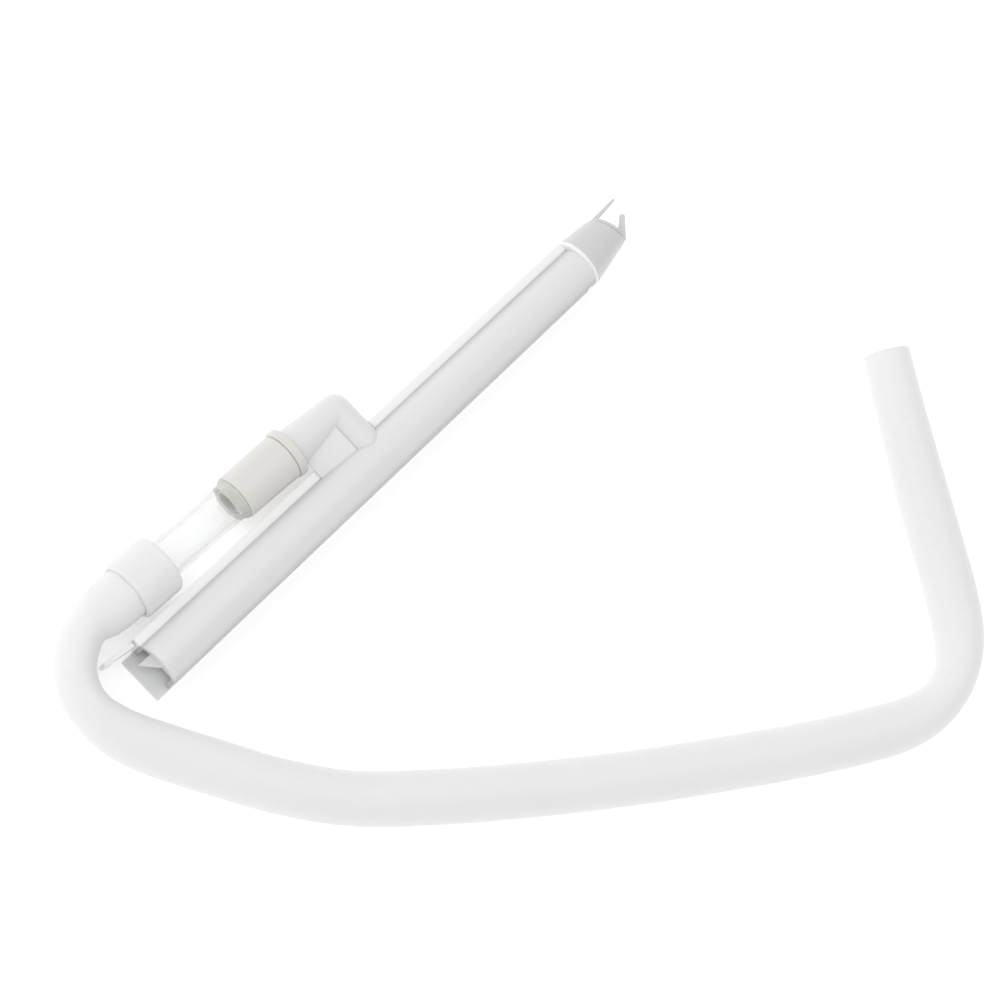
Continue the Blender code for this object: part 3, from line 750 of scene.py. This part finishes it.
class HANDPIECE_OT_base(Operator):
    """Draws the flat plate, the side rail, and the tongue behind the rail"""

    bl_idname = "handpiece.base"
    bl_label = "Plate, rail and tongue"

    def execute(self, context):
        colours = context.scene.handpiece_colours
        edge = context.scene.handpiece_sizes.edge
        tail = SHELL_LOW.x - PLATE_LOW.x
        outline = [
            (-HALF_WIDTH, 0.0),
            (-HALF_WIDTH, PLATE_THICK),
            (PLATE_LEFT, PLATE_THICK),
            (PLATE_LEFT, 0.0),
        ]
        plate = bevelled(drawn_out(outline, -tail, LENGTH, NOSE_SCALE), edge * 0.7)
        moved(plate, Matrix.Translation(BARREL))
        grey = plate_finish(tuple(colours.plate))
        finished("flat_plate", plate, grey, "handpiece", "base_plate", "plate")
        light = rail_finish(tuple(colours.rail))
        rail = bevelled(drawn_out(self.rail_outline(), 0.0, LENGTH, NOSE_SCALE), edge * 0.45)
        moved(rail, Matrix.Translation(BARREL))
        notch = ("DIFFERENCE", self.saddle(4.15 * MM))
        finished("side_strip", rail, light, "handpiece", "side_rail", "rail", notch)
        self.tongue(light)
        return {"FINISHED"}

    @staticmethod
    def rail_outline():
        """The rail across the barrel; its inner side follows the dome up to the rail's top."""
        top = math.asin((RAIL_HIGH.z - DOME_SPRING) / DOME_RISE)
        outline = [(DOME_CENTRE + DOME_HALF - SEAT, 0.0)]
        for i in range(9):
            side = (DOME_HALF - SEAT) * math.cos(top * i / 8)
            outline.append((DOME_CENTRE + side, DOME_SPRING + DOME_RISE * math.sin(top * i / 8)))
        return outline + [(HALF_WIDTH, RAIL_HIGH.z), (HALF_WIDTH, 0.0)]

    @staticmethod
    def saddle(radius):
        """The round notch in which the elbow's first leg sits."""
        bm = bmesh.new()
        bmesh.ops.create_cone(
            bm, cap_ends=True, segments=ROUND, radius1=radius, radius2=radius, depth=8.0 * MM,
            matrix=Matrix.Translation((SWIVEL_AT.x, BARREL.y + 7.0 * MM, SWIVEL_AT.z))
            @ Matrix.Rotation(math.pi / 2, 4, "X"),
        )
        return bm

    @staticmethod
    def tongue(finish):
        """The thin tongue, with a small hook behind its tip and a rounded end."""
        reach, half = 9.0 * MM, 0.6 * MM
        outline = [
            (GAP, -half),
            (reach, -half * 0.8),
            (reach, half * 0.8),
            (reach - 2.2 * MM, half * 1.5),
            (reach - 2.8 * MM, half),
            (GAP, half),
        ]
        bm = raised(outline, TONGUE_LOW.z, TONGUE_HIGH.z)
        round_tip(bm, reach - 0.1 * MM, 0.8 * MM)
        bevelled(bm, 0.16 * MM, segments=2, least=50.0)
        spot = Vector((TONGUE_AT.x, TONGUE_AT.y, 0.0))
        splay = math.pi - math.radians(7.0)
        moved(bm, Matrix.Translation(spot) @ Matrix.Rotation(splay, 4, "Z"))
        finished("spring_tongue", bm, finish, "tongue", "rear_tongue", "rail")


class HANDPIECE_OT_bulkhead(Operator):
    """Draws the wall inside the barrel's rear end, with its corner web"""

    bl_idname = "handpiece.bulkhead"
    bl_label = "Bulkhead"

    def execute(self, context):
        sizes = context.scene.handpiece_sizes
        finish = white_finish(tuple(context.scene.handpiece_colours.white))
        foot = PLATE_THICK + 1.1 * MM
        near = 1.9 * MM
        outline = arch(-sizes.wall - GAP, foot)
        bm = bevelled(drawn_out(outline, near, near + 1.2 * MM), 0.2 * MM)
        bmesh.ops.scale(bm, verts=bm.verts, vec=(1.0, 0.998, 0.998))
        moved(bm, Matrix.Translation(BARREL))
        corner = near + 0.3 * MM
        outline = [(-2.1 * MM, 1.9 * MM), (corner, -2.9 * MM), (corner, 1.9 * MM)]
        web = bevelled(raised(outline, 3.4 * MM, 4.3 * MM), 0.15 * MM, segments=2)
        moved(web, Matrix.Translation(BARREL))
        join = ("UNION", web)
        finished("tail_bulkhead", bm, finish, "handpiece", "rear_bulkhead", "white", join)
        return {"FINISHED"}


# The nose: (y, z) of its rings from the barrel's reference point, and their half sizes.
NOSE_CENTRE = (0.0, 6.1 * MM)
NOSE_WIDE, NOSE_TALL = 6.4 * MM, 6.1 * MM
NOSE_SQUARE = 3.0  # how square the nose is below its middle
NOSE_BORE = 3.25 * MM
PLUG_CENTRE = (-0.85 * MM, 6.3 * MM)
PLUG_WIDE, PLUG_TALL = 3.75 * MM, 4.1 * MM
MOUTH_CENTRE = (0.85 * MM, 6.1 * MM)
MOUTH_RADIUS = 3.95 * MM
MOUTH_DEPTH = 5.3 * MM
MOUTH_RAKE = 0.29  # how far the mouth slants along X for each step along Y
LIP = 4.9 * MM

# The prongs as (root's place across the mouth, tip in millimetres, thickness).
PRONGS = (
    (3.9 * MM, (159.6, 5.2, 6.7), 1.1 * MM),
    (-3.9 * MM, (158.2, 1.3, 7.7), 1.6 * MM),
)


class HANDPIECE_OT_nose(Operator):
    """Draws the gasket, the tapered nozzle and the pronged guard"""

    bl_idname = "handpiece.nose"
    bl_label = "Nose"

    def execute(self, context):
        colours = context.scene.handpiece_colours
        near = LENGTH - SEAT
        far = near + 1.0 * MM
        end = CONE_HIGH.x - BARREL.x - MOUTH_RAKE * LIP
        finish = white_finish(tuple(colours.white))
        gasket = self.gasket(near, far)
        finished("nose_ring", gasket, finish, "handpiece", "nose_gasket", "white")
        finish = cone_finish(tuple(colours.cone))
        cone = self.cone(near - 7.0 * MM, far - SEAT, end)
        finished("tapered_nozzle", cone, finish, "handpiece", "nose_cone", "cone")
        flange = end + 0.1 * MM
        finish = prong_finish(tuple(colours.prongs))
        guard = self.guard(end - MOUTH_DEPTH + GAP, flange)
        prongs = [("UNION", self.prong(flange, *prong)) for prong in PRONGS]
        finished("clear_guard", guard, finish, "handpiece", "tip_guard", "prong", *prongs)
        return {"FINISHED"}

    @staticmethod
    def gasket(near, far):
        def ring(x, inset):
            return oval(x, NOSE_CENTRE, NOSE_WIDE - inset, NOSE_TALL - inset, NOSE_SQUARE)

        return skin([
            ring(near, 0.15 * MM),
            ring(near + 0.1 * MM, 0.05 * MM),
            ring(near + 0.25 * MM, 0.0),
            ring(far - 0.25 * MM, 0.0),
            ring(far - 0.1 * MM, 0.05 * MM),
            ring(far, 0.15 * MM),
            oval(far, PLUG_CENTRE, PLUG_WIDE + GAP, PLUG_TALL + GAP),
            oval(near, PLUG_CENTRE, PLUG_WIDE + GAP, PLUG_TALL + GAP),
        ])

    @staticmethod
    def cone(plug_end, start, end):
        """The nozzle from its base to its slanted mouth, with the plug behind its base."""
        shoulder = end - MOUTH_DEPTH

        def ring(x, inset):
            return oval(x, NOSE_CENTRE, NOSE_WIDE - inset, NOSE_TALL - inset, NOSE_SQUARE)

        def slanted(x, radius):
            return oval(x, MOUTH_CENTRE, radius, radius, rake=MOUTH_RAKE)

        return skin([
            ring(start, 0.15 * MM),
            ring(start + 0.08 * MM, 0.05 * MM),
            ring(start + 0.2 * MM, 0.0),
            slanted(end - 0.4 * MM, LIP),
            slanted(end - 0.12 * MM, LIP - 0.1 * MM),
            slanted(end, LIP - 0.35 * MM),
            slanted(end, MOUTH_RADIUS),
            oval(shoulder, MOUTH_CENTRE, MOUTH_RADIUS, MOUTH_RADIUS),
            oval(shoulder, MOUTH_CENTRE, NOSE_BORE, NOSE_BORE),
            oval(start, PLUG_CENTRE, NOSE_BORE, NOSE_BORE),
            oval(plug_end, PLUG_CENTRE, NOSE_BORE, NOSE_BORE),
            oval(plug_end, PLUG_CENTRE, PLUG_WIDE, PLUG_TALL),
            oval(start, PLUG_CENTRE, PLUG_WIDE, PLUG_TALL),
        ])

    @staticmethod
    def guard(start, flange):
        """The guard's sleeve in the mouth and its slanted flange."""
        sleeve, rim = MOUTH_RADIUS - GAP, LIP - 0.35 * MM

        def slanted(x, radius):
            return oval(x, MOUTH_CENTRE, radius, radius, rake=MOUTH_RAKE)

        return skin([
            oval(start, MOUTH_CENTRE, sleeve, sleeve),
            slanted(flange, sleeve),
            slanted(flange, rim - 0.15 * MM),
            slanted(flange + 0.2 * MM, rim),
            slanted(flange + 0.7 * MM, rim),
            slanted(flange + 0.9 * MM, rim - 0.2 * MM),
            slanted(flange + 0.9 * MM, NOSE_BORE),
            oval(start, MOUTH_CENTRE, NOSE_BORE, NOSE_BORE),
        ])

    @staticmethod
    def prong(flange, side, tip, thick):
        """A flat prong that narrows from its root in the flange to a rounded tip."""
        slant = -MOUTH_RAKE * side
        root = Vector((flange + 0.45 * MM + slant, MOUTH_CENTRE[0] + side, NOSE_CENTRE[1]))
        along = Vector(tip) * MM - root
        bm = bmesh.new()
        bmesh.ops.create_cube(bm, size=1.0)
        for vert in bm.verts:
            share = vert.co.x + 0.5
            wide = thick * (1.0 - 0.35 * share)
            tall = 3.4 * MM * (1.0 - 0.5 * share)
            vert.co = (along.length * share, wide * vert.co.y, tall * vert.co.z)
        round_tip(bm, along.length * 0.9, 0.5 * MM)
        bevelled(bm, 0.18 * MM, least=50.0)
        turn = Vector((1.0, 0.0, 0.0)).rotation_difference(along).to_matrix().to_4x4()
        return moved(bm, Matrix.Translation(BARREL + root) @ turn)


class HANDPIECE_OT_elbow(Operator):
    """Draws the side elbow with its saddle, ball corner, spigot and web"""

    bl_idname = "handpiece.elbow"
    bl_label = "Elbow"

    def execute(self, context):
        seat = drawn_out(arch(-SEAT, 0.0), -1.0 * MM, LENGTH, NOSE_SCALE)
        moved(seat, Matrix.Translation(BARREL))
        changes = (("UNION", self.web()), ("DIFFERENCE", seat))
        finish = milky_finish(tuple(context.scene.handpiece_colours.shell))
        pipe = self.pipe()
        finished("saddle_elbow", pipe, finish, "handpiece", "side_elbow", "shell", *changes)
        return {"FINISHED"}

    def pipe(self):
        """Leg 1 out of the barrel, the ball corner, and leg 2 with the spigot at its end."""
        leg, leg_wide, bore, spigot = 4.0 * MM, 4.85 * MM, 2.6 * MM, 3.4 * MM
        reach = SWIVEL_AT.y - BARREL.y
        leg_end, spigot_end = 14.1 * MM, 29.6 * MM
        fan = [i / 12 for i in range(13)]
        foot = [(reach - 1.0 * MM, leg), (reach - 9.5 * MM, leg)]
        end = [
            (leg_end - 0.4 * MM, leg_wide),
            (leg_end - 0.12 * MM, leg_wide - 0.12 * MM),
            (leg_end, leg_wide - 0.4 * MM),
            (leg_end, spigot),
            (spigot_end - 1.3 * MM, spigot),
            (spigot_end - 1.0 * MM, spigot + 0.5 * MM),
            (spigot_end - 0.6 * MM, spigot + 0.5 * MM),
            (spigot_end, spigot - 0.1 * MM),
        ]
        rings = [self.ring(1, at, radius) for at, radius in foot]
        rings += [self.ring(0, share, leg) for share in fan]
        rings += [self.ring(2, at, radius) for at, radius in end]
        rings.append(self.ring(2, spigot_end, bore))
        rings += [self.ring(0, share, bore) for share in reversed(fan)]
        rings.append(self.ring(1, foot[0][0], bore))
        return skin(rings)

    @staticmethod
    def web():
        """The web over the rail between the legs, which slopes down towards its rear."""
        near, far = BARREL.y + 3.5 * MM, SWIVEL_AT.y - 2.6 * MM
        rear, front = SWIVEL_AT.x - 13.7 * MM, SWIVEL_AT.x - 3.3 * MM
        outline = [(rear, near), (front, near), (front, far), (rear, far)]
        low = RAIL_HIGH.z
        web = raised(outline, low, low + 1.9 * MM)
        for vert in web.verts:
            if vert.co.x < (rear + front) / 2 and vert.co.z > low + 0.5 * MM:
                vert.co.z = low + 0.3 * MM
        return bevelled(web, 0.12 * MM)

    @staticmethod
    def ring(leg, at, radius):
        """A ring on leg 1 or leg 2 at a distance, or on the ball corner at a share of its turn."""
        out_1 = Vector((1.0, 0.0, 0.0))
        out_2 = Vector((-SWIVEL_AXIS.y, SWIVEL_AXIS.x, 0.0))

        def where(angle):
            side, up = radius * math.cos(angle), radius * math.sin(angle)
            if leg == 1:
                place = out_1 * side - Vector((0.0, at, 0.0))
            elif leg == 2:
                place = out_2 * side - SWIVEL_AXIS * at
            elif side > 0.0:
                out = out_1.slerp(out_2, at) if 0.0 < at < 1.0 else (out_1, out_2)[int(at)]
                place = out * side
            else:
                place = (out_1 + out_2) * (side / (1.0 + out_1.dot(out_2)))
            return SWIVEL_AT + place + Vector((0.0, 0.0, up))

        return where


class HANDPIECE_OT_swivel(Operator):
    """Draws the ring, collar, seals, clear connector and cuff that turn on the elbow"""

    bl_idname = "handpiece.swivel"
    bl_label = "Swivel"

    def execute(self, context):
        colours = context.scene.handpiece_colours
        edge, fine = context.scene.handpiece_sizes.edge, 0.12 * MM
        collar = collar_finish(tuple(colours.collar))
        seal = seal_finish(tuple(colours.seal))
        clear = clear_finish(tuple(colours.clear))
        cuff = cuff_finish(tuple(colours.cuff))
        self.put("flanged_ring", RING, collar, "retaining_ring", "collar", edge)
        self.put("tapered_collar", COLLAR, collar, "swivel_collar", "collar", edge)
        self.put("collar_seal", CORD_SEAL, seal, "swivel_seal", "seal", 0.0)
        self.put("mouth_seal", MOUTH_SEAL, seal, "connector_seal", "seal", fine)
        self.put("clear_tube", TUBE, clear, "clear_connector", "clear", fine)
        self.put("frosted_cuff", CUFF, cuff, "hose_cuff", "cuff", edge * 0.8)
        return {"FINISHED"}

    @staticmethod
    def put(name, profile, finish, node, slot, edge):
        bm = turned([(x * MM, radius * MM) for x, radius in profile])
        if edge:
            bevelled(bm, edge, least=30.0)
        finished(name, moved(bm, arm_frame()), finish, "hose_set", node, slot)


# Profiles of the turned pieces as (x, radius) in millimetres, back along the swivel's axis.
RING = [
    (14.4, 4.3), (14.4, 6.05), (14.6, 6.25), (16.3, 6.25), (16.5, 6.05), (16.6, 5.7), (16.6, 4.3),
]
COLLAR = [
    (16.65, 3.75), (16.65, 5.7), (16.85, 5.9), (31.5, 5.75), (31.75, 5.5), (31.75, 3.8),
    (33.9, 3.8), (33.9, 2.9), (30.5, 2.9), (30.5, 4.4), (28.0, 4.4), (28.0, 3.75), (22.0, 3.75),
    (22.0, 5.0), (19.4, 5.0), (19.4, 3.75),
]
CORD_SEAL = [
    (20.7 + 0.5 * math.cos(math.tau * i / 24), 4.3 + 0.5 * math.sin(math.tau * i / 24))
    for i in range(24)
]
MOUTH_SEAL = [(31.8, 4.1), (31.8, 5.45), (32.2, 5.4), (32.9, 4.95), (33.9, 4.7), (33.9, 4.1)]
TUBE = [
    (33.95, 4.1), (33.95, 4.9), (57.6, 4.9), (57.6, 5.5), (59.8, 4.9), (60.2, 4.9), (60.2, 5.5),
    (62.4, 4.9), (62.8, 4.9), (62.8, 5.5), (64.3, 4.9), (64.5, 4.7), (64.5, 4.1),
]
CUFF = [
    (54.6, 5.2), (54.6, 6.6), (54.9, 7.2), (55.5, 7.5), (65.1, 7.5), (65.6, 7.0), (65.6, 6.4),
    (64.8, 6.4), (64.6, 6.65), (56.5, 6.65), (56.5, 5.2),
]


class HANDPIECE_PT_panel(Panel):
    """Lists the pieces and the sizes and colours that they use"""

    bl_idname = "HANDPIECE_PT_panel"
    bl_label = "Suction Handpiece"
    bl_space_type = "VIEW_3D"
    bl_region_type = "UI"
    bl_category = "Handpiece"

    def draw(self, context):
        for operator in OPERATORS:
            self.layout.operator(operator.bl_idname)
        for group in (context.scene.handpiece_sizes, context.scene.handpiece_colours):
            for name in group.bl_rna.properties.keys():
                if name not in ("rna_type", "name"):
                    self.layout.prop(group, name)


OPERATORS = (
    HANDPIECE_OT_stage,
    HANDPIECE_OT_hose,
    HANDPIECE_OT_shell,
    HANDPIECE_OT_base,
    HANDPIECE_OT_bulkhead,
    HANDPIECE_OT_nose,
    HANDPIECE_OT_elbow,
    HANDPIECE_OT_swivel,
)
CLASSES = (HandpieceSizes, HandpieceColours, *OPERATORS, HANDPIECE_PT_panel)


def register():
    for item in CLASSES:
        bpy.utils.register_class(item)
    bpy.types.Scene.handpiece_sizes = PointerProperty(type=HandpieceSizes)
    bpy.types.Scene.handpiece_colours = PointerProperty(type=HandpieceColours)


def unregister():
    del bpy.types.Scene.handpiece_colours
    del bpy.types.Scene.handpiece_sizes
    for item in reversed(CLASSES):
        bpy.utils.unregister_class(item)


def main():
    register()
    bpy.ops.handpiece.stage()
    bpy.ops.handpiece.hose()
    bpy.ops.handpiece.shell()
    bpy.ops.handpiece.base()
    bpy.ops.handpiece.bulkhead()
    bpy.ops.handpiece.nose()
    bpy.ops.handpiece.elbow()
    bpy.ops.handpiece.swivel()


if __name__ == "__main__":
    main()
